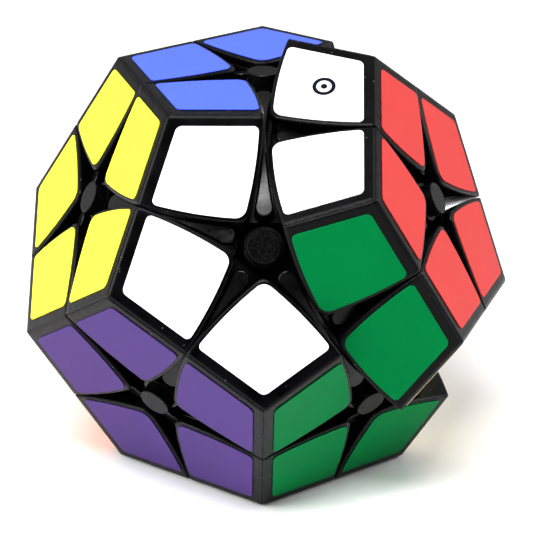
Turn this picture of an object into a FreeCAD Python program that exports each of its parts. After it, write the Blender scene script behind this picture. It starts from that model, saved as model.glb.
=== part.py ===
"""Twelve-sided twisty puzzle with five corner pieces round each face, one layer part way through a turn.

Frame: millimetres, +Z up, origin at the centre of the core, where all twelve turning axes meet.
The puzzle rests on its light blue face; the blue face is on top and the white face looks along -Y.

How it works: every sliding surface is turned about a face axis, or is a sphere about the core's centre,
so any layer can turn. Corner feet are caught under the inner edges, the edges' feet under the hub
flanges, and a sprung screw holds each hub down on the core.
"""

import FreeCAD, Part
import math
import os

import Sketcher
from FreeCAD import Placement, Rotation, Vector

ORIGIN = Vector(0, 0, 0)
UP = Vector(0, 0, 1)

doc = FreeCAD.newDocument("TwistyPuzzle")

# ---------------------------------------------------------------- sizes
SIZES = [
    ("across_flats", 73.0, "mm from a face to the opposite face, without stickers"),
    ("layer_turn", -39.0, "degrees that the red layer stands turned about its outward axis"),
    ("turn_play", 0.12, "mm taken off each piece at every sliding surface"),
    ("core_radius", 17.4, "mm, sphere between the core and the feet"),
    ("step_radius", 23.2, "mm, sphere that all feet pass under"),
    ("neck_height", 0.8, "mm of unrounded neck between a corner's foot and its shell"),
    ("foot_angle", 52.0, "degrees from the face axis to the edge of a layer's feet"),
    ("cut_radius", 47.8, "mm, arc that cuts a layer off outside the step"),
    ("cut_offset", 12.0, "mm from the face axis to the middle of that arc"),
    ("cut_low", 15.77, "mm from the core's centre to the lowest point of that arc"),
    ("layer_reach", 39.0, "mm, radius of a layer's rim, beyond the outermost corner"),
    ("wall", 1.8, "mm, wall of the moulded corners"),
    ("floor_wall", 1.6, "mm, wall between a corner's hollow and its foot"),
    ("cover_seam", 0.1, "mm, visible joint between a corner's body and its cover"),
    ("ridge_round", 0.9, "mm, rounding of the outer ridges"),
    ("rim_round", 0.3, "mm, rounding between a corner's faces and its cut walls"),
    ("rim_start", 35.0, "mm from the core's centre, inside which a corner's edges stay sharp"),
    ("tip_round", 2.0, "mm, rounding of a corner's tips beside the cap"),
    ("sticker_thickness", 0.2, "mm"),
    ("sticker_border", 0.75, "mm of plastic showing along the cut"),
    ("sticker_ridge_border", 2.05, "mm of plastic showing along the ridges"),
    ("sticker_outer_round", 1.3, "mm, sticker corner at the puzzle's vertex"),
    ("sticker_side_round", 0.9, "mm, sticker corners at the middle of the ridges"),
    ("sticker_tip_round", 2.0, "mm, sticker corner beside the cap"),
    ("fin_half_width", 1.6, "mm, inner edge's fin at its round end"),
    ("fin_waist_half_width", 0.42, "mm, the same fin under the middle of the ridge"),
    ("fin_start", 5.2, "mm from the face axis to the fin's round end"),
    ("fin_top_radius", 35.3, "mm, sphere that tops the fins"),
    ("fin_round", 0.3, "mm, rounding of the fin's upper outline"),
    ("fin_overlap", 1.0, "mm that the fin reaches down into the inner edge"),
    ("edge_body_radius", 32.6, "mm, sphere that tops an inner edge beside its fin"),
    ("flange_room", 0.4, "mm between an inner edge and a hub's flange"),
    ("tube_room", 0.5, "mm between an inner edge and a hub's tube"),
    ("hub_stem_radius", 3.05, "mm"),
    ("hub_flange_radius", 6.2, "mm at the underside"),
    ("hub_flange_rim", 0.6, "mm, upright rim of the flange"),
    ("hub_flange_under", 23.42, "mm, sphere of the flange's underside"),
    ("hub_flange_top_radius", 5.3, "mm"),
    ("hub_flange_top", 25.2, "mm from the core's centre"),
    ("hub_tube_radius", 4.0, "mm"),
    ("hub_shoulder", 30.4, "mm from the core's centre"),
    ("hub_collar_radius", 3.55, "mm"),
    ("hub_collar_slope", 0.5, "mm, height over which the tube narrows to the collar"),
    ("hub_top", 34.4, "mm from the core's centre"),
    ("spring_seat", 24.0, "mm from the core's centre"),
    ("spring_well_radius", 3.1, "mm"),
    ("well_lip", 0.35, "mm that the lip under the cap stands into the spring's well"),
    ("well_lip_height", 0.6, "mm"),
    ("well_lip_slope", 0.2, "mm"),
    ("cap_gap", 0.02, "mm round the cap in the collar"),
    ("cap_radius", 2.92, "mm"),
    ("cap_top", 36.75, "mm from the core's centre"),
    ("cap_bottom", 32.4, "mm from the core's centre"),
    ("cap_chamfer", 0.12, "mm"),
    ("screw_shank_radius", 1.2, "mm"),
    ("screw_clearance", 0.3, "mm round the shank in the hub's floor"),
    ("screw_head_radius", 2.6, "mm"),
    ("screw_head_under", 29.2, "mm from the core's centre"),
    ("screw_head_height", 1.8, "mm"),
    ("screw_end", 9.6, "mm from the core's centre"),
    ("spring_wire", 0.5, "mm, wire diameter"),
    ("spring_coil_radius", 2.1, "mm, middle of the wire"),
    ("spring_turns", 5.0, "turns"),
    ("spring_end_gap", 0.05, "mm between the spring's ends and what they press on"),
    ("core_hollow_radius", 13.6, "mm"),
    ("core_boss_radius", 3.2, "mm"),
    ("core_boss_start", 8.6, "mm from the core's centre"),
    ("core_tongue_radius", 15.9, "mm, middle of the ring that centres the core's halves"),
    ("core_tongue_width", 0.9, "mm"),
    ("core_tongue_height", 1.2, "mm"),
    ("core_tongue_root", 0.5, "mm that the ring starts below the joint"),
    ("core_overlap", 0.5, "mm that the bosses run into the core's wall"),
    ("hole_overrun", 1.0, "mm that the screw holes run past the bosses"),
]
sheet = doc.addObject("Spreadsheet::Sheet", "Sizes")
for row, (alias, value, note) in enumerate(SIZES, start=1):
    sheet.set(f"A{row}", alias)
    sheet.set(f"B{row}", str(value))
    sheet.set(f"C{row}", note)
    sheet.setAlias(f"B{row}", alias)
doc.recompute()


def size(expression):
    """Value now held by an expression over the sheet."""
    value = sheet.evalExpression(expression)
    return float(getattr(value, "Value", value))


# ---------------------------------------------------------------- faces of the dodecahedron
RING_TILT = math.degrees(math.atan(0.5))  # upper and lower rings of five faces


def face_normal(azimuth, elevation):
    a, e = math.radians(azimuth), math.radians(elevation)
    return Vector(math.cos(a) * math.cos(e), math.sin(a) * math.cos(e), math.sin(e))


FACE = {"blue": Vector(0, 0, 1), "light_blue": Vector(0, 0, -1)}
for place, (upper, lower) in enumerate(
    [("white", "green"), ("red", "beige"), ("pink", "gray"), ("lime", "orange"), ("yellow", "purple")]
):
    FACE[upper] = face_normal(-90 + 72 * place, RING_TILT)
    FACE[lower] = face_normal(-54 + 72 * place, -RING_TILT)

NEIGHBOUR_LIMIT = 0.4  # cosine: neighbouring face axes are 63.4 degrees apart, the next ones 116.6


def neighbours(first, second):
    return first != second and FACE[first].dot(FACE[second]) > NEIGHBOUR_LIMIT


def towards(first, second):
    """Direction in the first face's plane, from its centre to its ridge with the second."""
    a, b = FACE[first], FACE[second]
    flat = b - a * a.dot(b)
    return flat.normalize()


def face_frame(first, second):
    """Turns local Z onto the first face's axis and local X towards its ridge with the second."""
    x = towards(first, second)
    return Rotation(x, FACE[first].cross(x), FACE[first], "ZXY")


# Corners go anticlockwise from the face that takes the separate cover, edges in any order.
COVER_FIRST = ["blue white yellow", "purple white yellow", "purple white green", "purple green light_blue"]
COVER_FIRST += ["white green red"]
EDGES = [(a, b) for i, a in enumerate(FACE) for b in list(FACE)[i + 1 :] if neighbours(a, b)]
CORNERS = []
for a, b in EDGES:
    for c in list(FACE)[list(FACE).index(b) + 1 :]:
        if neighbours(a, c) and neighbours(b, c):
            names = [a, b, c]
            for wish in COVER_FIRST:
                if set(wish.split()) == set(names):
                    names = wish.split()
            if FACE[names[0]].cross(FACE[names[1]]).dot(FACE[names[2]]) < 0:
                names = [names[0], names[2], names[1]]
            CORNERS.append(tuple(names))

# Layers that turn whole. No two of these three faces share a corner piece.
TURNING = ["red", "yellow", "gray"]
LAYER_ANGLE = {"red": size("Sizes.layer_turn"), "yellow": 0.0, "gray": 0.0}


def layer_of(faces):
    """The turning layer that a piece on these faces belongs to, or root."""
    found = [name for name in TURNING if name in faces]
    return found[0] if found else "root"


def layer_placement(layer):
    if layer == "root":
        return Placement()
    return Placement(ORIGIN, Rotation(FACE[layer], LAYER_ANGLE[layer]))


# ---------------------------------------------------------------- building blocks
def sketch_on_axis(body, plane="XZ_Plane"):
    sketch = body.newObject("Sketcher::SketchObject", body.Name + "_profile")
    origin_plane = [item for item in body.Origin.OriginFeatures if item.Role == plane][0]
    sketch.AttachmentSupport = (origin_plane, [""])
    sketch.MapMode = "FlatFace"
    return sketch


def bind(sketch, name, expression, *constraint):
    index = sketch.addConstraint(Sketcher.Constraint(*constraint))
    sketch.renameConstraint(index, name)
    sketch.setExpression("Constraints." + name, expression)


def turned_body(name, outline):
    """A body turned about Z from a closed outline of (radius, height) expressions."""
    body = doc.addObject("PartDesign::Body", name)
    sketch = sketch_on_axis(body)
    points = [Vector(size(r), size(z), 0) for r, z in outline]
    count = len(points)
    for i, point in enumerate(points):
        sketch.addGeometry(Part.LineSegment(point, points[(i + 1) % count]))
    for i in range(count):
        sketch.addConstraint(Sketcher.Constraint("Coincident", i, 2, (i + 1) % count, 1))
    for i, (radius, height) in enumerate(outline):
        if radius == "0":
            sketch.addConstraint(Sketcher.Constraint("PointOnObject", i, 1, -2))
        else:
            bind(sketch, f"radius_{i}", radius, "DistanceX", -1, 1, i, 1, points[i].x)
        bind(sketch, f"height_{i}", height, "DistanceY", -1, 1, i, 1, points[i].y)
    return revolve(body, sketch)


def revolve(body, sketch):
    doc.recompute()
    turn = body.newObject("PartDesign::Revolution", body.Name + "_turned")
    turn.Profile = sketch
    turn.ReferenceAxis = (sketch, ["V_Axis"])
    turn.Angle = 360
    sketch.Visibility = False
    doc.recompute()
    return body


def layer_zone(name, play, top):
    """Space of one layer about Z: a cone for the feet, the step sphere, then a shallow saucer.

    Play shrinks the space for the layer's own pieces, and a negative play grows it.
    """
    body = doc.addObject("PartDesign::Body", name)
    sketch = sketch_on_axis(body)
    gap, height = size(play), size(top)
    foot = math.radians(size("Sizes.foot_angle"))
    step = size("Sizes.step_radius") - gap
    saucer = size("Sizes.cut_radius") - gap
    middle = Vector(size("Sizes.cut_offset"), size("Sizes.cut_low + Sizes.cut_radius"), 0)
    reach = size("Sizes.layer_reach")
    # Where the cone meets the step, the step meets the saucer and the saucer meets the rim.
    apex = Vector(0, gap / math.sin(foot), 0)
    slide = -apex.y * math.cos(foot) + math.sqrt(step**2 - (apex.y * math.sin(foot)) ** 2)
    low = apex + Vector(math.sin(foot), math.cos(foot), 0) * slide
    along = (step**2 - saucer**2 + middle.Length**2) / (2 * middle.Length)
    across = math.sqrt(step**2 - along**2)
    ahead = Vector(middle).normalize()
    high = ahead * along + Vector(ahead.y, -ahead.x, 0) * across
    rim = Vector(reach, middle.y - math.sqrt(saucer**2 - (reach - middle.x) ** 2), 0)

    def arc(centre, radius, start, end):
        angles = [math.atan2(p.y - centre.y, p.x - centre.x) for p in (start, end)]
        return Part.ArcOfCircle(Part.Circle(centre, UP, radius), *angles)

    sketch.addGeometry(Part.LineSegment(Vector(0, height, 0), apex))
    sketch.addGeometry(Part.LineSegment(apex, low))
    sketch.addGeometry(arc(ORIGIN, step, low, high))
    sketch.addGeometry(arc(middle, saucer, high, rim))
    sketch.addGeometry(Part.LineSegment(rim, Vector(reach, height, 0)))
    sketch.addGeometry(Part.LineSegment(Vector(reach, height, 0), Vector(0, height, 0)))
    for line in range(6):
        sketch.addConstraint(Sketcher.Constraint("Coincident", line, 2, (line + 1) % 6, 1))
    sketch.addConstraint(Sketcher.Constraint("PointOnObject", 0, 1, -2))
    sketch.addConstraint(Sketcher.Constraint("PointOnObject", 0, 2, -2))
    sketch.addConstraint(Sketcher.Constraint("Coincident", 2, 3, -1, 1))
    sketch.addConstraint(Sketcher.Constraint("Vertical", 4))
    sketch.addConstraint(Sketcher.Constraint("Horizontal", 5))
    bind(sketch, "top", top, "DistanceY", -1, 1, 0, 1, height)
    bind(sketch, "apex", f"({play}) / sin(Sizes.foot_angle * 1 deg)", "DistanceY", -1, 1, 0, 2, apex.y)
    bind(sketch, "foot", "Sizes.foot_angle * 1 deg", "Angle", 1, 1, 0, 2, foot)
    bind(sketch, "step", f"Sizes.step_radius - ({play})", "Radius", 2, step)
    bind(sketch, "saucer", f"Sizes.cut_radius - ({play})", "Radius", 3, saucer)
    bind(sketch, "saucer_x", "Sizes.cut_offset", "DistanceX", -1, 1, 3, 3, middle.x)
    bind(sketch, "saucer_z", "Sizes.cut_low + Sizes.cut_radius", "DistanceY", -1, 1, 3, 3, middle.y)
    bind(sketch, "reach", "Sizes.layer_reach", "DistanceX", -1, 1, 4, 2, reach)
    return revolve(body, sketch)


def placed(target, name, placement):
    """The same shape again, somewhere else."""
    link = doc.addObject("App::Link", name)
    link.LinkedObject = target
    link.Placement = placement
    link.Label = name
    return link


def on_face(target, face, other=None):
    """A turned shape on a face's axis, with its seam away from another face."""
    if other is None:
        turn = Rotation(UP, FACE[face])
    else:
        turn = face_frame(face, other) * Rotation(UP, 180)
    return placed(target, f"{target.Name}_on_{face}", Placement(ORIGIN, turn))


def ball(name, radius):
    sphere = doc.addObject("Part::Sphere", name)
    sphere.setExpression("Radius", radius)
    return sphere


def half_space(name, normal, distance):
    """Everything on the far side of the plane that stands at this distance along its normal."""
    box = doc.addObject("Part::Box", name)
    for side in ("Length", "Width", "Height"):
        box.setExpression(side, "Sizes.across_flats * 2")
    reach = size("Sizes.across_flats")
    turn = Rotation(UP, normal)
    box.Placement = Placement(normal * distance + turn.multVec(Vector(-reach, -reach, 0)), turn)
    return box


def common(name, shapes):
    both = doc.addObject("Part::MultiCommon", name)
    both.Shapes = shapes
    doc.recompute()
    return both


def fuse(name, shapes):
    joined = doc.addObject("Part::MultiFuse", name)
    joined.Shapes = shapes
    doc.recompute()
    return joined


def cut(name, base, tool):
    rest = doc.addObject("Part::Cut", name)
    rest.Base = base
    rest.Tool = tool
    doc.recompute()
    return rest


def rounded(name, base, chosen):
    """Fillets; chosen gives an edge's radius, or 0 to leave it sharp."""
    fillet = doc.addObject("Part::Fillet", name)
    fillet.Base = base
    radii = [(i, chosen(edge)) for i, edge in enumerate(base.Shape.Edges, start=1)]
    fillet.Edges = [(i, radius, radius) for i, radius in radii if radius]
    doc.recompute()
    return fillet


def group(name, members):
    """One node made of like pieces that move together."""
    compound = doc.addObject("Part::Compound", name)
    compound.Links = members
    compound.Label = name
    doc.recompute()
    return compound


FACE_PLANE = "Sizes.across_flats / 2"
own_zone = layer_zone("own_zone", "Sizes.turn_play", FACE_PLANE)
swept_zone = layer_zone("swept_zone", "-Sizes.turn_play", FACE_PLANE + " + Sizes.wall")
hollow_zone = layer_zone("hollow_zone", "Sizes.turn_play + Sizes.wall", FACE_PLANE + " - Sizes.wall")
sticker_zone = layer_zone("sticker_zone", "Sizes.turn_play + Sizes.sticker_border", FACE_PLANE)
face_plane = size(FACE_PLANE)
ridge_distance = face_plane * math.tan(math.radians(90 - RING_TILT) / 2)  # face centre to mid ridge

# ---------------------------------------------------------------- corner piece
# Moulded shell in two parts: a body with two faces and the foot, and a glued cover for the third face.
A, B, C = "blue", "yellow", "white"
AROUND = ((A, B), (B, C), (C, A))
corner_zone = common("corner_zone", [on_face(own_zone, f, g) for f, g in AROUND])
corner_block = cut("corner_block", corner_zone, ball("shell_ball", "Sizes.step_radius + Sizes.neck_height"))


def axis_distance(point, face):
    return (point - FACE[face] * point.dot(FACE[face])).Length


def corner_rounding(edge):
    middle = edge.valueAt((edge.FirstParameter + edge.LastParameter) / 2)
    if edge.Curve.TypeId == "Part::GeomLine" and middle.Length > size("Sizes.layer_reach"):
        return size("Sizes.ridge_round")
    reach = size("Sizes.hub_flange_radius")
    near_axis = min(axis_distance(middle, f) for f in (A, B, C)) < reach
    on_shell = middle.Length > size("Sizes.step_radius + Sizes.neck_height * 2")
    if on_shell and near_axis and edge.Length > reach:
        return size("Sizes.tip_round")
    return 0


def turned_edge_angle(edge, shape):
    """Angle in degrees between the outward normals of the two faces that meet at an edge."""
    middle = edge.valueAt((edge.FirstParameter + edge.LastParameter) / 2)
    normals = [f.normalAt(*f.Surface.parameter(middle)) for f in shape.ancestorsOfType(edge, Part.Face)]
    return math.degrees(normals[0].getAngle(normals[1])) if len(normals) == 2 else 0


def rim_rounding(edge):
    """The sharp rim that runs once round the corner, between its outer faces and its cut walls."""
    if edge.Degenerated or edge.CenterOfMass.Length < size("Sizes.rim_start"):
        return 0
    sharp = turned_edge_angle(edge, corner_smooth.Shape) > 45
    return size("Sizes.rim_round") if sharp else 0


corner_smooth = rounded("corner_smooth", corner_block, corner_rounding)
corner_shell = rounded("corner_shell", corner_smooth, rim_rounding)
foot_limit = ball("foot_ball", "Sizes.step_radius + Sizes.neck_height * 1.2")
foot_zone = common("foot_zone", [corner_zone, foot_limit])
corner_foot = cut("corner_foot", foot_zone, ball("feet_ball", "Sizes.core_radius + Sizes.turn_play"))
corner_form = fuse("corner_form", [corner_shell, corner_foot])
hollow_block = common("hollow_block", [on_face(hollow_zone, f, g) for f, g in AROUND])
hollow = cut("corner_hollow", hollow_block, ball("hollow_floor", "Sizes.step_radius + Sizes.floor_wall"))


def cover_space(name, seam):
    """Space of the cover: one wall deep, and mitred along the two ridges."""
    mitres = [half_space(f"{name}_mitre_{f}", (FACE[A] - FACE[f]).normalize(), seam) for f in (B, C)]
    slab = half_space(name + "_slab", FACE[A], face_plane - size("Sizes.wall"))
    return common(name, [corner_form, slab] + mitres)


corner_cover = cover_space("corner_cover", size("Sizes.cover_seam"))
corner_open = cut("corner_open", corner_form, cover_space("corner_cover_seat", 0.0))
corner_body = cut("corner_body", corner_open, hollow)

# ---------------------------------------------------------------- sticker
# Thin vinyl kite on each of a corner's three faces.
sticker_sheet = doc.addObject("Part::Cylinder", "sticker_sheet")
sticker_sheet.setExpression("Radius", "Sizes.layer_reach")
sticker_sheet.setExpression("Height", "Sizes.sticker_thickness")
sticker_sheet.setExpression("Placement.Base.z", FACE_PLANE)
ridge_line = -(ridge_distance - size("Sizes.sticker_ridge_border"))
sticker_sides = [on_face(sticker_zone, f, A) for f in (B, C)]
sticker_sides += [half_space(f"sticker_ridge_{f}", towards(A, f) * -1, ridge_line) for f in (B, C)]
sticker_kite = common("sticker_kite", [sticker_sheet] + sticker_sides)


def sticker_rounding(edge):
    if edge.Length > size("Sizes.sticker_thickness") * 2:
        return 0
    distance = axis_distance(edge.CenterOfMass, A)
    if distance < ridge_distance / 2:
        return size("Sizes.sticker_tip_round")
    if distance > ridge_distance:
        return size("Sizes.sticker_outer_round")
    return size("Sizes.sticker_side_round")


sticker = rounded("sticker", sticker_kite, sticker_rounding)

# ---------------------------------------------------------------- inner edge
# Moulded piece that fills the space between two corners; its fin shows in the star-shaped gap.
hub_room = turned_body(
    "hub_room",
    [
        ("0", "Sizes.core_radius"),
        ("Sizes.hub_flange_radius + Sizes.flange_room", "Sizes.core_radius"),
        ("Sizes.hub_flange_radius + Sizes.flange_room", "Sizes.hub_flange_top + Sizes.flange_room"),
        ("Sizes.hub_tube_radius + Sizes.tube_room", "Sizes.hub_flange_top + Sizes.flange_room"),
        ("Sizes.hub_tube_radius + Sizes.tube_room", "Sizes.across_flats / 2"),
        ("0", "Sizes.across_flats / 2"),
    ],
)
hub_room_above = cut("hub_room_above", hub_room, ball("flange_ball", "Sizes.step_radius"))
BOTH_WAYS = ((A, C), (C, A))
edge_pair = common("edge_pair", [on_face(own_zone, f, g) for f, g in BOTH_WAYS])
edge_ends = [f for f in FACE if neighbours(f, A) and neighbours(f, C)]
edge_tools = [on_face(swept_zone, f, A) for f in edge_ends]
edge_tools += [on_face(hub_room_above, f, g) for f, g in BOTH_WAYS]
edge_tools.append(ball("edge_feet_ball", "Sizes.core_radius + Sizes.turn_play"))
edge_block = cut("edge_block", edge_pair, fuse("edge_tool", edge_tools))
edge_root = common("edge_root", [edge_block, ball("edge_body_ball", "Sizes.edge_body_radius")])


def fin_blade(name):
    """Blade under one face with a round nose, hollow sides and a straight waist: X runs to the ridge."""
    body = doc.addObject("PartDesign::Body", name)
    sketch = sketch_on_axis(body, "XY_Plane")
    nose, waist = size("Sizes.fin_half_width"), size("Sizes.fin_waist_half_width")
    centre = Vector(size("Sizes.fin_start + Sizes.fin_half_width"), 0, 0)
    waist_at = "Sizes.fin_top_radius * sin((90 deg - atan(0.5)) / 2)"
    narrow = Vector(size(waist_at), waist, 0)
    # Each side is an arc that touches the round nose and ends level with the waist.
    run = narrow.x - centre.x
    side = (run**2 + waist**2 - nose**2) / (2 * (nose - waist))
    lean = math.atan2(waist + side, run)

    def side_arc(across, start, end):
        circle = Part.Circle(Vector(narrow.x, across * (waist + side), 0), UP, side)
        return Part.ArcOfCircle(circle, start, end)

    def level(across, start, end):
        return Part.LineSegment(Vector(start, across * waist, 0), Vector(end, across * waist, 0))

    sketch.addGeometry(Part.ArcOfCircle(Part.Circle(centre, UP, nose), lean, 2 * math.pi - lean))
    sketch.addGeometry(side_arc(-1, math.pi / 2, math.pi - lean))
    sketch.addGeometry(level(-1, narrow.x, ridge_distance))
    sketch.addGeometry(Part.LineSegment(Vector(ridge_distance, -waist, 0), Vector(ridge_distance, waist, 0)))
    sketch.addGeometry(level(1, ridge_distance, narrow.x))
    sketch.addGeometry(side_arc(1, math.pi + lean, 3 * math.pi / 2))
    sketch.addConstraint(Sketcher.Constraint("Tangent", 0, 2, 1, 2))
    sketch.addConstraint(Sketcher.Constraint("Tangent", 1, 1, 2, 1))
    sketch.addConstraint(Sketcher.Constraint("Coincident", 2, 2, 3, 1))
    sketch.addConstraint(Sketcher.Constraint("Coincident", 3, 2, 4, 1))
    sketch.addConstraint(Sketcher.Constraint("Tangent", 4, 2, 5, 2))
    sketch.addConstraint(Sketcher.Constraint("Tangent", 5, 1, 0, 1))
    sketch.addConstraint(Sketcher.Constraint("PointOnObject", 0, 3, -1))
    sketch.addConstraint(Sketcher.Constraint("Horizontal", 2))
    sketch.addConstraint(Sketcher.Constraint("Horizontal", 4))
    sketch.addConstraint(Sketcher.Constraint("Symmetric", 2, 2, 3, 2, -1))
    sketch.addConstraint(Sketcher.Constraint("Vertical", 2, 1, 4, 2))
    bind(sketch, "start", "Sizes.fin_start + Sizes.fin_half_width", "DistanceX", -1, 1, 0, 3, centre.x)
    bind(sketch, "nose", "Sizes.fin_half_width", "Radius", 0, nose)
    bind(sketch, "waist", "Sizes.fin_waist_half_width * 2", "DistanceY", 2, 2, 3, 2, waist * 2)
    bind(sketch, "waist_at", waist_at, "DistanceX", -1, 1, 2, 1, narrow.x)
    ridge_at = FACE_PLANE + " * tan((90 deg - atan(0.5)) / 2)"
    bind(sketch, "ridge", ridge_at, "DistanceX", -1, 1, 2, 2, ridge_distance)
    doc.recompute()
    pad = body.newObject("PartDesign::Pad", name + "_pad")
    pad.Profile = sketch
    pad.setExpression("Length", "Sizes.across_flats / 2")
    sketch.Visibility = False
    doc.recompute()
    return body


blade = fin_blade("fin_blade")
blades = fuse(
    "fin_blades",
    [placed(blade, f"fin_blade_{f}", Placement(ORIGIN, face_frame(f, g))) for f, g in BOTH_WAYS],
)
fin_whole = common("fin_whole", [edge_block, blades, ball("fin_top_ball", "Sizes.fin_top_radius")])
fin_sharp = cut("fin_sharp", fin_whole, ball("fin_foot_ball", "Sizes.edge_body_radius - Sizes.fin_overlap"))


def fin_rounding(edge):
    """The outline of the fin's top, but not its shortest edges."""
    if edge.Degenerated or edge.Length < size("Sizes.fin_overlap"):
        return 0
    on_top = all(abs(v.Point.Length - size("Sizes.fin_top_radius")) < 0.01 for v in edge.Vertexes)
    sharp = turned_edge_angle(edge, fin_sharp.Shape) > 60
    return size("Sizes.fin_round") if on_top and sharp else 0


edge_fin = rounded("edge_fin", fin_sharp, fin_rounding)
inner_edge = fuse("inner_edge", [edge_root, edge_fin])

# ---------------------------------------------------------------- hub, cap, screw and spring


def under_flange(radius):
    """Height of the flange's spherical underside at a radius from the hub's axis."""
    return f"sqrt(pow(Sizes.hub_flange_under; 2) - pow({radius}; 2))"


hub = turned_body(
    "hub",
    [
        ("Sizes.screw_shank_radius + Sizes.screw_clearance", "Sizes.core_radius + Sizes.turn_play"),
        ("Sizes.hub_stem_radius", "Sizes.core_radius + Sizes.turn_play"),
        ("Sizes.hub_stem_radius", under_flange("Sizes.hub_stem_radius")),
        ("Sizes.hub_flange_radius", under_flange("Sizes.hub_flange_radius")),
        ("Sizes.hub_flange_radius", under_flange("Sizes.hub_flange_radius") + " + Sizes.hub_flange_rim"),
        ("Sizes.hub_flange_top_radius", "Sizes.hub_flange_top"),
        ("Sizes.hub_tube_radius", "Sizes.hub_flange_top"),
        ("Sizes.hub_tube_radius", "Sizes.hub_shoulder"),
        ("Sizes.hub_collar_radius", "Sizes.hub_shoulder + Sizes.hub_collar_slope"),
        ("Sizes.hub_collar_radius", "Sizes.hub_top"),
        ("Sizes.cap_radius + Sizes.cap_gap", "Sizes.hub_top"),
        ("Sizes.cap_radius + Sizes.cap_gap", "Sizes.cap_bottom"),
        ("Sizes.spring_well_radius - Sizes.well_lip", "Sizes.cap_bottom"),
        ("Sizes.spring_well_radius - Sizes.well_lip", "Sizes.cap_bottom - Sizes.well_lip_height"),
        ("Sizes.spring_well_radius", "Sizes.cap_bottom - Sizes.well_lip_height - Sizes.well_lip_slope"),
        ("Sizes.spring_well_radius", "Sizes.spring_seat"),
        ("Sizes.screw_shank_radius + Sizes.screw_clearance", "Sizes.spring_seat"),
    ],
)
cap = turned_body(
    "cap",
    [
        ("0", "Sizes.cap_bottom"),
        ("Sizes.cap_radius", "Sizes.cap_bottom"),
        ("Sizes.cap_radius", "Sizes.cap_top - Sizes.cap_chamfer"),
        ("Sizes.cap_radius - Sizes.cap_chamfer", "Sizes.cap_top"),
        ("0", "Sizes.cap_top"),
    ],
)
screw_solid = turned_body(
    "screw_solid",
    [
        ("0", "Sizes.screw_end"),
        ("Sizes.screw_shank_radius / 3", "Sizes.screw_end"),
        ("Sizes.screw_shank_radius", "Sizes.screw_end + Sizes.screw_shank_radius"),
        ("Sizes.screw_shank_radius", "Sizes.screw_head_under"),
        ("Sizes.screw_head_radius", "Sizes.screw_head_under"),
        ("Sizes.screw_head_radius", "Sizes.screw_head_under + Sizes.screw_head_height * 0.6"),
        ("Sizes.screw_head_radius * 0.75", "Sizes.screw_head_under + Sizes.screw_head_height"),
        ("0", "Sizes.screw_head_under + Sizes.screw_head_height"),
    ],
)
slots = []
for turn in (0, 90):
    slot = doc.addObject("Part::Box", f"driver_slot_{turn}")
    slot.setExpression("Length", "Sizes.screw_head_radius * 1.3")
    slot.setExpression("Width", "Sizes.screw_shank_radius / 2")
    slot.setExpression("Height", "Sizes.screw_head_height")
    spin = Rotation(UP, turn)
    lift = Vector(0, 0, size("Sizes.screw_head_under + Sizes.screw_head_height * 0.4"))
    slots.append((slot, spin, lift))
doc.recompute()
for slot, spin, lift in slots:
    half_slot = Vector(-slot.Length.Value / 2, -slot.Width.Value / 2, 0)
    slot.Placement = Placement(lift + spin.multVec(half_slot), spin)
screw = cut("screw", screw_solid, fuse("driver_cross", [slot for slot, spin, lift in slots]))

coil_rise = "Sizes.screw_head_under - Sizes.spring_seat - Sizes.spring_wire - Sizes.spring_end_gap * 2"
coil_start = "Sizes.spring_seat + Sizes.spring_wire / 2 + Sizes.spring_end_gap"
coil = doc.addObject("Part::Helix", "spring_coil")
coil.setExpression("Radius", "Sizes.spring_coil_radius")
coil.setExpression("Pitch", f"({coil_rise}) / Sizes.spring_turns")
coil.setExpression("Height", coil_rise)
coil.setExpression("Placement.Base.z", coil_start)
wire_end = doc.addObject("Part::Circle", "spring_wire_end")
wire_end.setExpression("Radius", "Sizes.spring_wire / 2")
wire_start = Vector(size("Sizes.spring_coil_radius"), 0, size(coil_start))
wire_end.Placement = Placement(wire_start, Rotation(Vector(1, 0, 0), 90))
doc.recompute()
spring = doc.addObject("Part::Sweep", "spring")
spring.Sections = [wire_end]
spring.Spine = (coil, ["Edge1"])
spring.Solid = True
spring.Frenet = True
doc.recompute()

# ---------------------------------------------------------------- core
# Hollow ball in two glued halves, with a screw boss on each of the twelve axes.
core_ball = ball("core_ball", "Sizes.core_radius - Sizes.turn_play")
core_shell = cut("core_shell", core_ball, ball("core_void", "Sizes.core_hollow_radius"))
boss = turned_body(
    "core_boss",
    [
        ("0", "Sizes.core_boss_start"),
        ("Sizes.core_boss_radius", "Sizes.core_boss_start"),
        ("Sizes.core_boss_radius", "Sizes.core_hollow_radius + Sizes.core_overlap"),
        ("0", "Sizes.core_hollow_radius + Sizes.core_overlap"),
    ],
)
hole = turned_body(
    "screw_hole",
    [
        ("0", "Sizes.core_boss_start - Sizes.hole_overrun"),
        ("Sizes.screw_shank_radius", "Sizes.core_boss_start - Sizes.hole_overrun"),
        ("Sizes.screw_shank_radius", "Sizes.core_radius + Sizes.hole_overrun"),
        ("0", "Sizes.core_radius + Sizes.hole_overrun"),
    ],
)
core_solid = fuse("core_solid", [core_shell] + [on_face(boss, f) for f in FACE])
core_drilled = cut("core_drilled", core_solid, fuse("screw_holes", [on_face(hole, f) for f in FACE]))
tongue = turned_body(
    "core_tongue",
    [
        ("Sizes.core_tongue_radius - Sizes.core_tongue_width / 2", "-Sizes.core_tongue_root"),
        ("Sizes.core_tongue_radius + Sizes.core_tongue_width / 2", "-Sizes.core_tongue_root"),
        ("Sizes.core_tongue_radius + Sizes.core_tongue_width / 2", "Sizes.core_tongue_height"),
        ("Sizes.core_tongue_radius - Sizes.core_tongue_width / 2", "Sizes.core_tongue_height"),
    ],
)
upper_space = half_space("core_upper_space", UP, 0)
lower_space = half_space("core_lower_space", UP * -1, 0)
core_upper = cut("core_upper", common("core_upper_half", [core_drilled, upper_space]), tongue)
core_lower = fuse("core_lower", [common("core_lower_half", [core_drilled, lower_space]), tongue])

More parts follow.
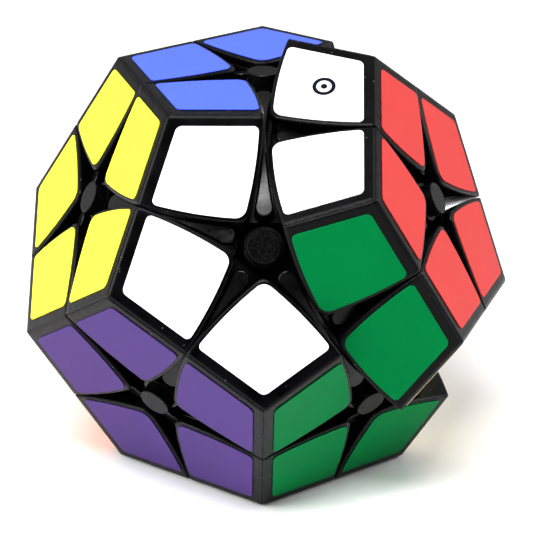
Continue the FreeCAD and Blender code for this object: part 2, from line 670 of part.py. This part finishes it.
# ---------------------------------------------------------------- assembly
nodes = [core_upper, core_lower]
for node in nodes:
    node.Label = node.Name
face_turns = {face: Placement(ORIGIN, Rotation(UP, FACE[face])) for face in FACE}
nodes.append(group("screws", [placed(screw, f"screw_{face}", face_turns[face]) for face in FACE]))
nodes.append(group("springs", [placed(spring, f"spring_{face}", face_turns[face]) for face in FACE]))
for face in FACE:
    nodes.append(placed(hub, f"hub_{face}", face_turns[face]))
    nodes.append(placed(cap, f"cap_{face}", face_turns[face]))

corner_frame = Placement(ORIGIN, face_frame(A, B))
covers = {layer: [] for layer in ["root"] + TURNING}
stickers = {layer: [] for layer in covers}
edges = {layer: [] for layer in covers}
for faces in CORNERS:
    layer = layer_of(faces)
    name = "_".join(faces)
    turn = layer_placement(layer) * Placement(ORIGIN, face_frame(faces[0], faces[1])) * corner_frame.inverse()
    nodes.append(placed(corner_body, f"corner_{name}", turn))
    covers[layer].append(placed(corner_cover, f"cover_{name}", turn))
    for i in range(3):
        side = Placement(ORIGIN, face_frame(faces[i], faces[(i + 1) % 3]))
        turn = layer_placement(layer) * side * corner_frame.inverse()
        stickers[layer].append(placed(sticker, f"sticker_{faces[i]}_{name}", turn))
edge_frame = Placement(ORIGIN, face_frame(A, C))
for faces in EDGES:
    layer = layer_of(faces)
    turn = layer_placement(layer) * Placement(ORIGIN, face_frame(*faces)) * edge_frame.inverse()
    edges[layer].append(placed(inner_edge, "edge_" + "_".join(faces), turn))
for layer in covers:
    nodes.append(group(f"{layer}_covers", covers[layer]))
    nodes.append(group(f"{layer}_inner_edges", edges[layer]))
    nodes.append(group(f"{layer}_stickers", stickers[layer]))
doc.recompute()

# ---------------------------------------------------------------- checks and export
for item in doc.Objects:
    if {"Invalid", "Error"} & set(item.State):
        raise RuntimeError(f"{item.Label} failed to build: {item.State}")
labels = [node.Label for node in nodes]
if len(set(labels)) != len(labels):
    raise RuntimeError("two nodes share a name")
for node in nodes:
    shape = Part.getShape(node)
    if shape.isNull() or not shape.isValid():
        raise RuntimeError(f"{node.Label} is not a valid shape")
os.makedirs("parts", exist_ok=True)
for node in nodes:
    Part.getShape(node).exportStep(f"parts/{node.Label}.step")
print(len(nodes), "nodes written")
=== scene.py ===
import math

import bmesh
import bpy
from mathutils import Matrix, Quaternion, Vector


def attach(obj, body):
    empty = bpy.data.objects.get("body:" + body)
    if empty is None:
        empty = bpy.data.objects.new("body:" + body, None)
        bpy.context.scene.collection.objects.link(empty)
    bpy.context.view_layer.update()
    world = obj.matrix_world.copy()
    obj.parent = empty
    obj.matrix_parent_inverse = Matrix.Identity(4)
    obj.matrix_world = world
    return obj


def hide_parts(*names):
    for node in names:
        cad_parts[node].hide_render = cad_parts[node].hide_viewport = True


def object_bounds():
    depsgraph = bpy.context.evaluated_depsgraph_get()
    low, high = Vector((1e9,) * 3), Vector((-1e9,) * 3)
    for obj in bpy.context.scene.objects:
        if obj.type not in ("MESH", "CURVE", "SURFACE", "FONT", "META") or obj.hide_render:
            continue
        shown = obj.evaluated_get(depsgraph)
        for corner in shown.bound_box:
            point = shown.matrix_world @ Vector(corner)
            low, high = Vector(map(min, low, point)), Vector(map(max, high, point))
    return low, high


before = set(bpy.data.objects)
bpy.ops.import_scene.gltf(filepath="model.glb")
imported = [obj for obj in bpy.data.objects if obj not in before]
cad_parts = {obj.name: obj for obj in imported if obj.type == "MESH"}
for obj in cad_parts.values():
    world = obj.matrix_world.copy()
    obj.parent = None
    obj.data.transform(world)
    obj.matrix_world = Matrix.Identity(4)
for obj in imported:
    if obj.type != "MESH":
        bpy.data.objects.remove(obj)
cad_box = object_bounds()

# ---------------------------------------------------------------- core
# The ball that everything turns about: two cupped halves of black ABS, injection moulded and left
# as they come from the tool. A tongue centres them, and the twelve hub screws hold them together.

MM = 0.001  # metres


def node(tree, kind, inputs=None, **settings):
    """A node with its settings made, each input given a value or joined to another node."""
    made = tree.nodes.new("ShaderNode" + kind)
    made.location.x = 200 * len(tree.nodes)
    for name, value in settings.items():
        setattr(made, name, value)
    for name, value in (inputs or {}).items():
        if isinstance(value, bpy.types.NodeSocket):
            tree.links.new(value, made.inputs[name])
        else:
            made.inputs[name].default_value = value
    return made


def effect(name, inputs, outputs):
    """An empty node group with named inputs and outputs, as (tree, what comes in, what goes out)."""
    tree = bpy.data.node_groups.new(name, "ShaderNodeTree")
    for label, value in inputs.items():
        socket = tree.interface.new_socket(label, in_out="INPUT", socket_type="NodeSocketFloat")
        socket.default_value = value
    for label in outputs:
        tree.interface.new_socket(label, in_out="OUTPUT", socket_type="NodeSocketFloat")
    return tree, tree.nodes.new("NodeGroupInput").outputs, tree.nodes.new("NodeGroupOutput").inputs


def finish_of(name, **constants):
    """A new material, its tree and its shader, with the values that are the same all over."""
    made = bpy.data.materials.new(name)
    made.use_nodes = True
    shader = made.node_tree.nodes["Principled BSDF"]
    for label, value in constants.items():
        shader.inputs[label.replace("_", " ")].default_value = value
    return made, made.node_tree, shader


def ramp(tree, value, low, high, start, end):
    """Value carried smoothly from the span low..high to the span start..end."""
    return node(tree, "MapRange", {"Value": value, "From Min": low, "From Max": high, "To Min": start,
                                   "To Max": end}, interpolation_type="SMOOTHSTEP").outputs["Result"]


def tint(tree, mask, dark, light):
    """Colour that goes from dark to light as the mask goes from 0 to 1."""
    mixed = node(tree, "Mix", {"Factor": mask, "A": (*dark, 1), "B": (*light, 1)}, data_type="RGBA")
    return mixed.outputs["Result"]


def dress(names, finish):
    for name in names:
        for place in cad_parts[name].material_slots:
            place.material = finish


# Grain that a spark-eroded tool leaves on a moulding: fine pits, and slow patches of more and
# less gloss.
moulded_grain, taken, given = effect("moulded grain", {"Grain mm": 0.3, "Patch mm": 6.0},
                                     ["Height", "Patches"])
place = node(moulded_grain, "TexCoord").outputs["Object"]
fine = node(moulded_grain, "Math", {0: 1 / MM, 1: taken["Grain mm"]}, operation="DIVIDE").outputs[0]
wide = node(moulded_grain, "Math", {0: 1 / MM, 1: taken["Patch mm"]}, operation="DIVIDE").outputs[0]
pits = node(moulded_grain, "TexNoise", {"Vector": place, "Scale": fine, "Detail": 3.0, "Roughness": 0.65})
patches = node(moulded_grain, "TexNoise", {"Vector": place, "Scale": wide, "Detail": 4.0, "Roughness": 0.6})
moulded_grain.links.new(pits.outputs["Fac"], given["Height"])
moulded_grain.links.new(ramp(moulded_grain, patches.outputs["Fac"], 0.35, 0.65, 0.0, 1.0), given["Patches"])

core_plastic, tree, shader = finish_of("core_plastic", IOR=1.53, Specular_IOR_Level=0.4)
grain = node(tree, "Group", {"Grain mm": 0.5, "Patch mm": 4.0}, node_tree=moulded_grain)
black = tint(tree, grain.outputs["Patches"], (0.011, 0.011, 0.012), (0.018, 0.018, 0.019))
tree.links.new(black, shader.inputs["Base Color"])
tree.links.new(ramp(tree, grain.outputs["Patches"], 0, 1, 0.48, 0.6), shader.inputs["Roughness"])
bump = node(tree, "Bump", {"Height": grain.outputs["Height"], "Distance": 0.03 * MM, "Strength": 0.6})
tree.links.new(bump.outputs["Normal"], shader.inputs["Normal"])
dress(["core_upper", "core_lower"], core_plastic)

# ---------------------------------------------------------------- screws
# Twelve pan-head screws of zinc-plated steel, one down each hub into a boss of the core.
# The heads are cold formed, and the plating on them is a little cloudy.

screw_steel, tree, shader = finish_of("screw_steel", Metallic=1.0)
grain = node(tree, "Group", {"Grain mm": 0.15, "Patch mm": 1.5}, node_tree=moulded_grain)
plating = tint(tree, grain.outputs["Patches"], (0.42, 0.42, 0.43), (0.62, 0.62, 0.6))
tree.links.new(plating, shader.inputs["Base Color"])
tree.links.new(ramp(tree, grain.outputs["Patches"], 0, 1, 0.28, 0.42), shader.inputs["Roughness"])
bump = node(tree, "Bump", {"Height": grain.outputs["Height"], "Distance": 0.01 * MM, "Strength": 0.5})
tree.links.new(bump.outputs["Normal"], shader.inputs["Normal"])
dress(["screws"], screw_steel)

# ---------------------------------------------------------------- springs
# Twelve coil springs of drawn steel wire, each between a screw's head and the floor of its hub.
# Drawing leaves the wire bright, and the assembler's grease darkens it in places.

spring_steel, tree, shader = finish_of("spring_steel", Metallic=1.0)
grain = node(tree, "Group", {"Grain mm": 0.1, "Patch mm": 0.9}, node_tree=moulded_grain)
greased = tint(tree, grain.outputs["Patches"], (0.36, 0.35, 0.33), (0.6, 0.6, 0.6))
tree.links.new(greased, shader.inputs["Base Color"])
tree.links.new(ramp(tree, grain.outputs["Patches"], 0, 1, 0.2, 0.34), shader.inputs["Roughness"])
bump = node(tree, "Bump", {"Height": grain.outputs["Height"], "Distance": 0.006 * MM, "Strength": 0.4})
tree.links.new(bump.outputs["Normal"], shader.inputs["Normal"])
dress(["springs"], spring_steel)

# ---------------------------------------------------------------- hubs and inner edges
# Twelve stepped hubs, which turn on their screws, and thirty inner edges, whose feet pass under the
# hubs and whose fins fill the gaps between corners. All are black ABS with polished sliding surfaces.

# Fine marks that sliding and handling leave, each a few millimetres long.
rubbed, taken, given = effect("rubbed marks", {"Length mm": 6.0, "Width mm": 0.15, "Share": 0.3}, ["Mask"])
place = node(rubbed, "TexCoord").outputs["Object"]
drift = node(rubbed, "TexNoise", {"Vector": place, "Scale": 90.0, "Detail": 1.0}).outputs["Color"]
bent = node(rubbed, "VectorMath", {0: drift, 1: (0.02, 0.02, 0.02)}, operation="MULTIPLY_ADD")
rubbed.links.new(place, bent.inputs[2])
long = node(rubbed, "Math", {0: 1 / MM, 1: taken["Length mm"]}, operation="DIVIDE").outputs[0]
thin = node(rubbed, "Math", {0: 1 / MM, 1: taken["Width mm"]}, operation="DIVIDE").outputs[0]
stretch = node(rubbed, "CombineXYZ", {"X": thin, "Y": thin, "Z": long}).outputs["Vector"]
drawn = node(rubbed, "VectorMath", {0: bent.outputs[0], 1: stretch}, operation="MULTIPLY").outputs[0]
lines = node(rubbed, "TexNoise", {"Vector": drawn, "Scale": 1.0, "Detail": 2.0, "Roughness": 0.5})
least = node(rubbed, "Math", {0: 0.8, 1: taken["Share"]}, operation="SUBTRACT").outputs[0]
most = node(rubbed, "Math", {0: least, 1: 0.2}, operation="ADD").outputs[0]
rubbed.links.new(ramp(rubbed, lines.outputs["Fac"], least, most, 0.0, 1.0), given["Mask"])

inner_plastic, tree, shader = finish_of("inner_plastic", IOR=1.53, Specular_IOR_Level=0.3)
grain = node(tree, "Group", {"Grain mm": 0.25, "Patch mm": 3.0}, node_tree=moulded_grain)
marks = node(tree, "Group", {"Length mm": 5.0, "Width mm": 0.3, "Share": 0.35}, node_tree=rubbed)
black = tint(tree, marks.outputs["Mask"], (0.001, 0.001, 0.0013), (0.003, 0.003, 0.0036))
tree.links.new(black, shader.inputs["Base Color"])
rough = node(tree, "Math", {0: marks.outputs["Mask"], 1: 0.1}, operation="MULTIPLY_ADD")
tree.links.new(ramp(tree, grain.outputs["Patches"], 0, 1, 0.27, 0.36), rough.inputs[2])
tree.links.new(rough.outputs[0], shader.inputs["Roughness"])
bump = node(tree, "Bump", {"Height": grain.outputs["Height"], "Distance": 0.012 * MM, "Strength": 0.5})
tree.links.new(bump.outputs["Normal"], shader.inputs["Normal"])
inner_nodes = [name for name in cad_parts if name.startswith("hub_") or name.endswith("_inner_edges")]
dress(inner_nodes, inner_plastic)

# ---------------------------------------------------------------- corners
# Twenty corner bodies, each with one of its three faces closed by a glued cover. Both are black ABS:
# the faces come off a finely textured tool, the cut walls off a smooth one, and ridges wear shiny.

# Where a surface turns sharply outwards within a given reach, as ridges and rims do.
worn_edges, taken, given = effect("worn edges", {"Reach mm": 0.5, "Break up mm": 0.8}, ["Mask"])
reach = node(worn_edges, "Math", {0: taken["Reach mm"], 1: MM}, operation="MULTIPLY").outputs[0]
eased = node(worn_edges, "Bevel", {"Radius": reach}, samples=4).outputs["Normal"]
own = node(worn_edges, "NewGeometry").outputs["Normal"]
turn = node(worn_edges, "VectorMath", {0: eased, 1: own}, operation="DOT_PRODUCT").outputs["Value"]
edge = ramp(worn_edges, turn, 0.995, 0.93, 0.0, 1.0)
place = node(worn_edges, "TexCoord").outputs["Object"]
fine = node(worn_edges, "Math", {0: 1 / MM, 1: taken["Break up mm"]}, operation="DIVIDE").outputs[0]
noise = node(worn_edges, "TexNoise", {"Vector": place, "Scale": fine, "Detail": 4.0, "Roughness": 0.7})
broken = ramp(worn_edges, noise.outputs["Fac"], 0.38, 0.62, 0.15, 1.0)
worn = node(worn_edges, "Math", {0: edge, 1: broken}, operation="MULTIPLY")
worn_edges.links.new(worn.outputs[0], given["Mask"])

# Specks of dust and lint, far apart, each a fraction of a millimetre.
dust, taken, given = effect("dust specks", {"Spacing mm": 3.0, "Speck mm": 0.08}, ["Mask"])
place = node(dust, "TexCoord").outputs["Object"]
dense = node(dust, "Math", {0: 1 / MM, 1: taken["Spacing mm"]}, operation="DIVIDE").outputs[0]
cells = node(dust, "TexVoronoi", {"Vector": place, "Scale": dense, "Randomness": 1.0})
speck = node(dust, "Math", {0: taken["Speck mm"], 1: taken["Spacing mm"]}, operation="DIVIDE").outputs[0]
half = node(dust, "Math", {0: speck, 1: 0.5}, operation="MULTIPLY").outputs[0]
dust.links.new(ramp(dust, cells.outputs["Distance"], speck, half, 0.0, 1.0), given["Mask"])

SMOOTH_WITHIN, GRAINED_FROM = 33.5 * MM, 36.4 * MM  # out from the middle of the puzzle
shell_plastic, tree, shader = finish_of("shell_plastic", IOR=1.53, Specular_IOR_Level=0.13,
                                        Coat_Roughness=0.3)
grain = node(tree, "Group", {"Grain mm": 0.32, "Patch mm": 5.0}, node_tree=moulded_grain)
worn = node(tree, "Group", {"Reach mm": 0.5, "Break up mm": 0.25}, node_tree=worn_edges)
specks = node(tree, "Group", {"Spacing mm": 1.8, "Speck mm": 0.14}, node_tree=dust)
place = node(tree, "TexCoord").outputs["Object"]
far = node(tree, "VectorMath", {0: place}, operation="LENGTH").outputs["Value"]
outside = ramp(tree, far, SMOOTH_WITHIN, GRAINED_FROM, 0.0, 1.0)
plain = tint(tree, grain.outputs["Patches"], (0.0009, 0.0009, 0.0012), (0.0024, 0.0024, 0.003))
tree.links.new(ramp(tree, worn.outputs["Mask"], 0, 1, 0.0, 0.3), shader.inputs["Coat Weight"])
rubbed_ridge = node(tree, "Mix", {"Factor": worn.outputs["Mask"], "A": plain,
                                  "B": (0.012, 0.012, 0.015, 1)}, data_type="RGBA")
dusty = node(tree, "Mix", {"Factor": specks.outputs["Mask"], "A": rubbed_ridge.outputs["Result"],
                           "B": (0.16, 0.16, 0.16, 1)}, data_type="RGBA")
tree.links.new(dusty.outputs["Result"], shader.inputs["Base Color"])
smooth = node(tree, "Math", {0: outside, 1: ramp(tree, grain.outputs["Patches"], 0, 1, 0.04, 0.1), 2: 0.23},
              operation="MULTIPLY_ADD").outputs[0]
tree.links.new(smooth, shader.inputs["Roughness"])
round_over = node(tree, "Bevel", {"Radius": 0.9 * MM}, samples=8)
bump = node(tree, "Bump", {"Height": grain.outputs["Height"], "Distance": 0.016 * MM,
                           "Strength": ramp(tree, outside, 0, 1, 0.15, 0.9),
                           "Normal": round_over.outputs["Normal"]})
tree.links.new(bump.outputs["Normal"], shader.inputs["Normal"])
shell_nodes = [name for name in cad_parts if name.startswith("corner_") or name.endswith("_covers")]
dress(shell_nodes, shell_plastic)

# ---------------------------------------------------------------- caps
# Twelve round plugs pressed into the hubs over the screws. Black ABS: the wall is polished, and the
# flat top has a fine matte texture, rubbed bright round its edge.

cap_plastic, tree, shader = finish_of("cap_plastic", IOR=1.53, Specular_IOR_Level=0.15)
grain = node(tree, "Group", {"Grain mm": 0.5, "Patch mm": 0.8}, node_tree=moulded_grain)
worn = node(tree, "Group", {"Reach mm": 0.15, "Break up mm": 2.5}, node_tree=worn_edges)
speckle = ramp(tree, grain.outputs["Height"], 0.42, 0.62, 0.0, 1.0)
top = tint(tree, speckle, (0.0008, 0.0008, 0.001), (0.003, 0.003, 0.0035))
bright = node(tree, "Mix", {"Factor": worn.outputs["Mask"], "A": top, "B": (0.01, 0.01, 0.011, 1)},
              data_type="RGBA")
tree.links.new(bright.outputs["Result"], shader.inputs["Base Color"])
tree.links.new(ramp(tree, speckle, 0, 1, 0.34, 0.44), shader.inputs["Roughness"])
bump = node(tree, "Bump", {"Height": grain.outputs["Height"], "Distance": 0.02 * MM, "Strength": 0.8})
tree.links.new(bump.outputs["Normal"], shader.inputs["Normal"])
dress([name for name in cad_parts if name.startswith("cap_")], cap_plastic)

# ---------------------------------------------------------------- stickers
# Sixty vinyl stickers, five of each of twelve colours, die cut and pressed onto the corners by hand.
# Each is a film 0.2 mm thick with a satin face, its upper edge rounded by the knife.

TURNED = math.radians(-39)  # how far the red layer stands turned about its outward axis
RING_TILT = math.atan(0.5)
FACES = {"blue": Vector((0, 0, 1)), "light_blue": Vector((0, 0, -1))}
UPPER_RING = ("white", "red", "pink", "lime", "yellow")
LOWER_RING = ("green", "beige", "gray", "orange", "purple")
for ring, start, tilt in ((UPPER_RING, -90, RING_TILT), (LOWER_RING, -54, -RING_TILT)):
    for step, colour in enumerate(ring):
        around = math.radians(start + 72 * step)
        level = Vector((math.cos(around), math.sin(around), 0))
        FACES[colour] = level * math.cos(tilt) + Vector((0, 0, math.sin(tilt)))

VINYL = {
    "white": (0.9, 0.9, 0.895), "blue": (0.08, 0.13, 0.7), "yellow": (0.98, 0.95, 0.055),
    "purple": (0.086, 0.049, 0.182), "green": (0.0, 0.196, 0.055), "red": (0.57, 0.068, 0.063),
    "light_blue": (0.2, 0.55, 0.85), "pink": (0.9, 0.32, 0.5), "lime": (0.38, 0.75, 0.09),
    "orange": (0.9, 0.25, 0.02), "beige": (0.9, 0.8, 0.5), "gray": (0.32, 0.33, 0.34),
}
EDGE_ROUND = 0.07 * MM
EDGE_STEPS = 4
SAME_POINT, SAME_HEIGHT, LEAST_STEP = 0.001 * MM, 0.01 * MM, 0.03 * MM


def islands(mesh):
    """The separate solids of a CAD node, each as a list of its faces in one welded bmesh."""
    work = bmesh.new()
    work.from_mesh(mesh)
    bmesh.ops.remove_doubles(work, verts=work.verts, dist=SAME_POINT)
    work.faces.index_update()
    seen = set()
    for first in work.faces:
        if first in seen:
            continue
        solid, waiting = {first}, [first]
        while waiting:
            near = {other for edge in waiting.pop().edges for other in edge.link_faces} - solid
            solid |= near
            waiting.extend(near)
        seen |= solid
        yield sorted(solid, key=lambda face: face.index)
    work.free()


def top_outline(faces, normal):
    """Outline of the upper side of a sticker in order round it, and its height along the normal."""
    height = max(v.co.dot(normal) for face in faces for v in face.verts)
    top = [face for face in faces if all(v.co.dot(normal) > height - SAME_HEIGHT for v in face.verts)]
    follows = {}
    for face in top:
        for loop in face.loops:
            if all(other is face or other not in top for other in loop.edge.link_faces):
                follows[loop.vert] = loop.link_loop_next.vert
    start = here = next(iter(follows))
    points = []
    while True:
        if not points or (here.co - points[-1]).length > LEAST_STEP:
            points.append(here.co.copy())
        here = follows[here]
        if here is start:
            return points, height


def film(target, points, normal, height, low):
    """A sticker: side walls up from low, a rounded edge, and a flat top."""
    count = len(points)
    inward = []
    for k in range(count):
        along = (points[(k + 1) % count] - points[k - 1]).normalized()
        inward.append(normal.cross(along))
    rings = [[target.verts.new(p - normal * (height - low)) for p in points]]
    for step in range(EDGE_STEPS + 1):
        turn = math.pi / 2 * step / EDGE_STEPS
        drop, inset = EDGE_ROUND * (1 - math.sin(turn)), EDGE_ROUND * (1 - math.cos(turn))
        rings.append([target.verts.new(p + n * inset - normal * drop) for p, n in zip(points, inward)])
    for lower, upper in zip(rings, rings[1:]):
        for k in range(count):
            after = (k + 1) % count
            target.faces.new((lower[k], lower[after], upper[after], upper[k])).smooth = True
    target.faces.new(rings[-1])
    target.faces.new(reversed(rings[0]))


def vinyl_finish(colour):
    """Satin vinyl printed in one colour, a little uneven, with faint marks from handling."""
    finish, tree, shader = finish_of("sticker_" + colour, IOR=1.5, Specular_IOR_Level=0.03)
    grain = node(tree, "Group", {"Grain mm": 0.9, "Patch mm": 9.0}, node_tree=moulded_grain)
    marks = node(tree, "Group", {"Length mm": 14.0, "Width mm": 0.3, "Share": 0.18}, node_tree=rubbed)
    ink = VINYL[colour]
    deep = tuple(0.96 * c for c in ink)
    print_tone = tint(tree, grain.outputs["Patches"], deep, ink)
    faded = tuple(c + (1 - c) * 0.012 for c in ink)
    rubbed_tone = node(tree, "Mix", {"Factor": marks.outputs["Mask"], "A": print_tone, "B": (*faded, 1)},
                       data_type="RGBA")
    tree.links.new(rubbed_tone.outputs["Result"], shader.inputs["Base Color"])
    rough = node(tree, "Math", {0: marks.outputs["Mask"], 1: 0.08}, operation="MULTIPLY_ADD")
    tree.links.new(ramp(tree, grain.outputs["Patches"], 0, 1, 0.3, 0.36), rough.inputs[2])
    tree.links.new(rough.outputs[0], shader.inputs["Roughness"])
    bump = node(tree, "Bump", {"Height": grain.outputs["Height"], "Distance": 0.01 * MM, "Strength": 0.3})
    tree.links.new(bump.outputs["Normal"], shader.inputs["Normal"])
    return finish


back_to_square = Matrix.Rotation(-TURNED, 3, FACES["red"])
films = {}
white_centres = []
for body in ("root", "red", "yellow", "gray"):
    for faces in islands(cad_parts[body + "_stickers"].data):
        middle = sum((face.calc_center_median() * face.calc_area() for face in faces), Vector())
        if body == "red":
            middle = back_to_square @ middle
        colour = max(FACES, key=lambda c: FACES[c].dot(middle))
        normal = back_to_square.inverted() @ FACES[colour] if body == "red" else FACES[colour]
        points, height = top_outline(faces, normal)
        low = min(v.co.dot(normal) for face in faces for v in face.verts)
        film(films.setdefault((colour, body), bmesh.new()), points, normal, height, low)
        if (colour, body) == ("white", "red"):
            white_centres.append(sum(points, Vector()) / len(points))

finishes = {colour: vinyl_finish(colour) for colour in VINYL}

# One white sticker bears a plain printed mark near its centre: a dark ring with a dot inside.
MARK_RING, MARK_LINE = 1.7 * MM, 0.75 * MM
MARK_ACROSS, MARK_DOWN = -1.2 * MM, -1.3 * MM
across = (back_to_square.inverted() @ FACES["white"].cross(FACES["blue"])).normalized()
down = (back_to_square.inverted() @ FACES["white"]).cross(across)
highest = max(white_centres, key=lambda centre: centre.z)
marked = highest + across * MARK_ACROSS + down * MARK_DOWN
tree = finishes["white"].node_tree
shader = tree.nodes["Principled BSDF"]
place = node(tree, "TexCoord").outputs["Object"]
away = node(tree, "VectorMath", {0: place, 1: marked}, operation="DISTANCE").outputs["Value"]
past = node(tree, "Math", {0: away, 1: MARK_RING}, operation="SUBTRACT").outputs[0]
off_ring = node(tree, "Math", {0: past}, operation="ABSOLUTE").outputs[0]
ring = ramp(tree, off_ring, 0.4 * MARK_LINE, 0.6 * MARK_LINE, 1.0, 0.0)
dot = ramp(tree, away, 0.7 * MARK_LINE, 0.9 * MARK_LINE, 1.0, 0.0)
inked = node(tree, "Math", {0: ring, 1: dot}, operation="MAXIMUM").outputs[0]
plain = shader.inputs["Base Color"].links[0].from_socket
printed = node(tree, "Mix", {"Factor": inked, "A": plain, "B": (0.008, 0.01, 0.016, 1)},
               data_type="RGBA")
tree.links.new(printed.outputs["Result"], shader.inputs["Base Color"])

for (colour, body), mesh in films.items():
    name = f"stickers_{colour}_{body}"
    data = bpy.data.meshes.new(name)
    mesh.to_mesh(data)
    mesh.free()
    piece = bpy.data.objects.new(name, data)
    bpy.context.scene.collection.objects.link(piece)
    data.materials.append(finishes[colour])
    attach(piece, "root" if body == "root" else body + "_layer")
    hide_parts(body + "_stickers")

# ---------------------------------------------------------------- floor
# A seamless sweep of white acrylic that the puzzle stands on: flat, then curving up well behind it.
# Its low sheen takes tints from the stickers that face it.

lowest = cad_box[0].z
SWEEP_WIDTH, SWEEP_FRONT, SWEEP_BACK, SWEEP_CURVE, SWEEP_TOP = 3.0, -1.6, 1.0, 0.6, 1.8
profile = [(SWEEP_FRONT, 0.0)]
for step in range(13):
    turn = math.pi / 2 * step / 12
    profile.append((SWEEP_BACK + SWEEP_CURVE * math.sin(turn), SWEEP_CURVE * (1 - math.cos(turn))))
profile.append((SWEEP_BACK + SWEEP_CURVE, SWEEP_TOP))
sweep = bmesh.new()
rows = []
for y, z in profile:
    rows.append([sweep.verts.new((side * SWEEP_WIDTH / 2, y, lowest + z)) for side in (-1, 1)])
for near, away in zip(rows, rows[1:]):
    sweep.faces.new((near[0], near[1], away[1], away[0])).smooth = True
data = bpy.data.meshes.new("floor")
sweep.to_mesh(data)
sweep.free()
floor = bpy.data.objects.new("floor", data)
bpy.context.scene.collection.objects.link(floor)
# The acrylic also glows faintly and evenly all over. This is painted light that lifts the shadows on the
# floor.
acrylic, tree, shader = finish_of("white_acrylic", Roughness=0.34, IOR=1.5, Emission_Strength=0.03)
place = node(tree, "TexCoord").outputs["Object"]
soft = node(tree, "TexNoise", {"Vector": place, "Scale": 3.0, "Detail": 2.0})
tree.links.new(tint(tree, soft.outputs["Fac"], (0.86, 0.86, 0.865), (0.9, 0.9, 0.9)),
               shader.inputs["Base Color"])
shader.inputs["Emission Color"].default_value = (1, 1, 1, 1)
data.materials.append(acrylic)

# ---------------------------------------------------------------- light
# A white studio: pale all round and unlit on the viewer's side, with a long soft box overhead and
# in front, a square one low on the left, and a weaker one behind on the right.

world = bpy.data.worlds.new("studio")
bpy.context.scene.world = world
world.use_nodes = True
tree = world.node_tree
way = node(tree, "TexCoord").outputs["Generated"]
height = node(tree, "SeparateXYZ", {0: way}).outputs["Z"]
DARK_SIDE = Vector((0, -0.9, 0.43)).normalized()  # where the room behind the viewer is unlit
towards = node(tree, "VectorMath", {0: way, 1: DARK_SIDE}, operation="DOT_PRODUCT").outputs["Value"]
unlit = ramp(tree, towards, 0.0, 0.66, 1.0, 0.015)
higher = ramp(tree, height, 0.0, 0.8, 0.8, 0.9)
glow = node(tree, "Math", {0: unlit, 1: higher}, operation="MULTIPLY").outputs[0]
tree.links.new(glow, tree.nodes["Background"].inputs["Strength"])
tree.nodes["Background"].inputs["Color"].default_value = (1, 1, 1, 1)


def soft_box(name, place, width, height, power):
    """A square lamp that faces the puzzle."""
    data = bpy.data.lights.new(name, "AREA")
    data.shape = "RECTANGLE"
    data.size, data.size_y = width, height
    data.energy = power
    lamp = bpy.data.objects.new(name, data)
    lamp.location = place
    lamp.rotation_euler = (-Vector(place)).to_track_quat("-Z", "Y").to_euler()
    bpy.context.scene.collection.objects.link(lamp)


soft_box("overhead", (-0.1, -0.34, 0.73), 0.5, 0.22, 8.0)
soft_box("left", (-0.78, -0.3, 0.34), 0.35, 0.45, 6.8)
soft_box("right", (0.8, 0.15, 0.5), 0.35, 0.45, 3.6)

# ---------------------------------------------------------------- camera
# Level with a hand holding the puzzle out: a little above it, almost square to the white face.

AZIMUTH, ELEVATION, ROLL = math.radians(-0.66), math.radians(23.44), math.radians(0.41)
DISTANCE = 427.5 * MM
SHIFT_RIGHT, SHIFT_UP = 0.78 * MM, -1.45 * MM
data = bpy.data.cameras.new("camera")
data.lens = 155.45
data.sensor_width = 36.0
data.clip_start = 0.01
camera = bpy.data.objects.new("camera", data)
bpy.context.scene.collection.objects.link(camera)
turn = (Quaternion((0, 0, 1), AZIMUTH) @ Quaternion((1, 0, 0), math.pi / 2 - ELEVATION)
        @ Quaternion((0, 0, 1), ROLL))
camera.matrix_world = (turn.to_matrix().to_4x4()
                       @ Matrix.Translation((SHIFT_RIGHT, SHIFT_UP, DISTANCE)))
bpy.context.scene.camera = camera
bpy.context.scene.view_settings.view_transform = "Standard"
bpy.context.scene.view_settings.look = "Medium High Contrast"
